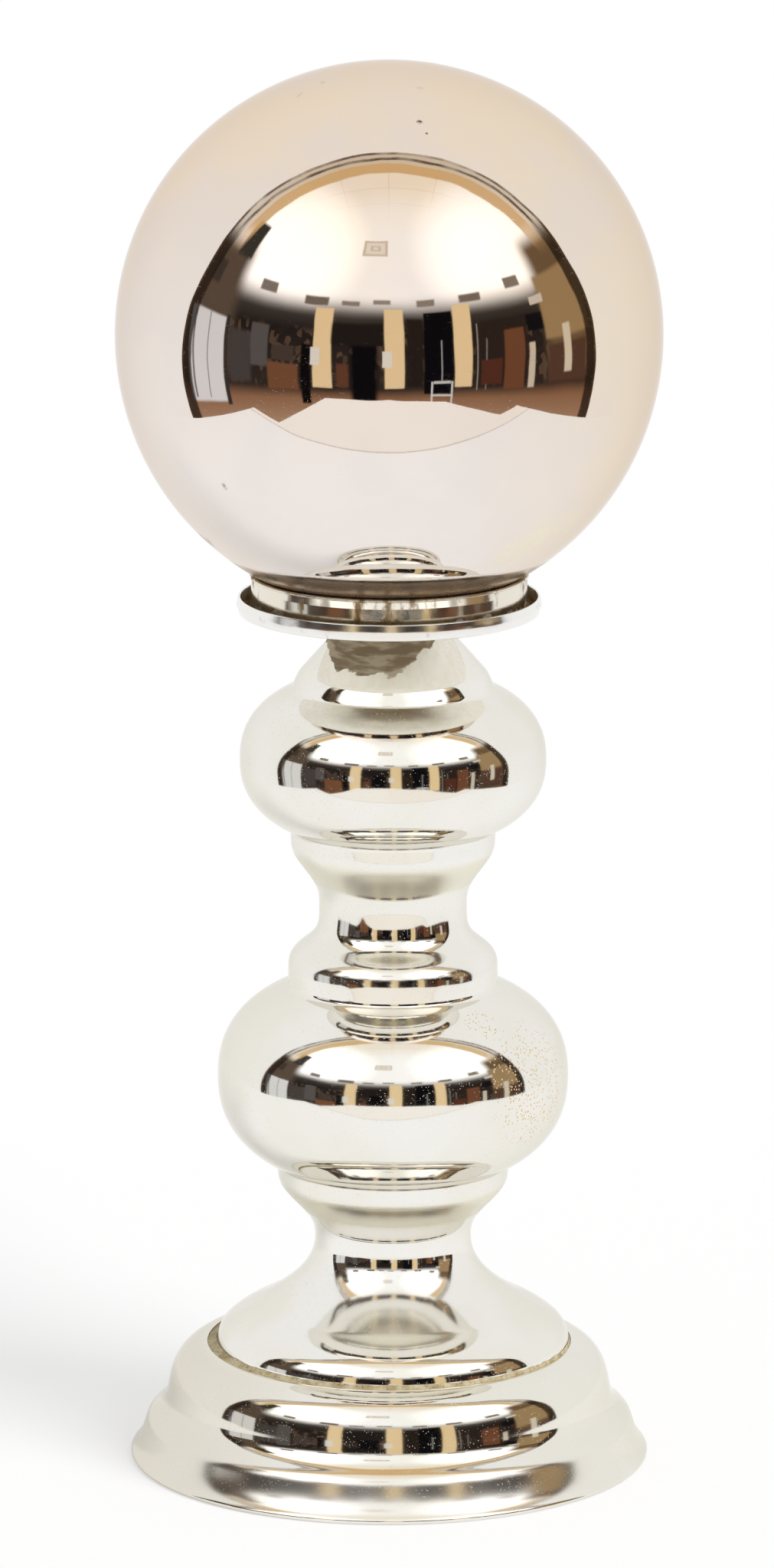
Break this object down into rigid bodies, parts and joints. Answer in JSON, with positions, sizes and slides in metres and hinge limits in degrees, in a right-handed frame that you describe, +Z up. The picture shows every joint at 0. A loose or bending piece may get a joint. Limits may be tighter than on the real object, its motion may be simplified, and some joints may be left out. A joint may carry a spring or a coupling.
{
  "type": "witch ball",
  "caption": "Mirrored rose-tinted blown glass ball resting in the plated cup of a silvered glass baluster stand with a two-tier bell foot.",
  "frame": {"origin": "centre of the foot's flat resting rim, on the floor", "axes": "+Z runs up the foot's axis to the top of the ball; the stem sits 1.8 mm off that axis towards +X; -Y faces the viewer"},
  "size_m": [0.254, 0.254, 0.6642],
  "materials": {
    "silvered_glass": "silvered inside, bright mirror with a warm, slightly green tint",
    "rose_silvered_glass": "silvered inside, rose-gold mirror with small specks and faint scratches",
    "polished_plate": "polished, slightly grimy in the trough",
    "tarnished_plate": "worn and tarnished plating with brown stains",
    "putty": "matt old putty, tan with dark specks",
    "cement": "matt grey-brown cement",
    "cork": "raw cork"
  },
  "bodies": {
    "stand": {"foot_shell": "silvered_glass", "foot_stopper": "cork", "stem_skirt": "silvered_glass", "stem_lower_bulb": "silvered_glass", "stem_upper_bulb": "silvered_glass", "stem_putty": "putty", "mouth_cement": "cement", "collar_tube": "tarnished_plate", "collar_dish": "polished_plate", "collar_cup": "tarnished_plate", "cup_putty": "putty"},
    "stopper": {"neck_stopper": "cork"},
    "ball": {"ball_neck": "rose_silvered_glass", "ball_shell": "rose_silvered_glass"}
  },
  "joints": [
    {"name": "ball_lift", "type": "slide", "parent": "stand", "child": "stopper", "axis": [0, 0, 1], "range_m": [0, 0.05]},
    {"name": "ball_turn", "type": "hinge", "parent": "stopper", "child": "ball", "pos_m": [0, 0, 0.5372], "axis": [0, 0, 1], "continuous": true}
  ]
}
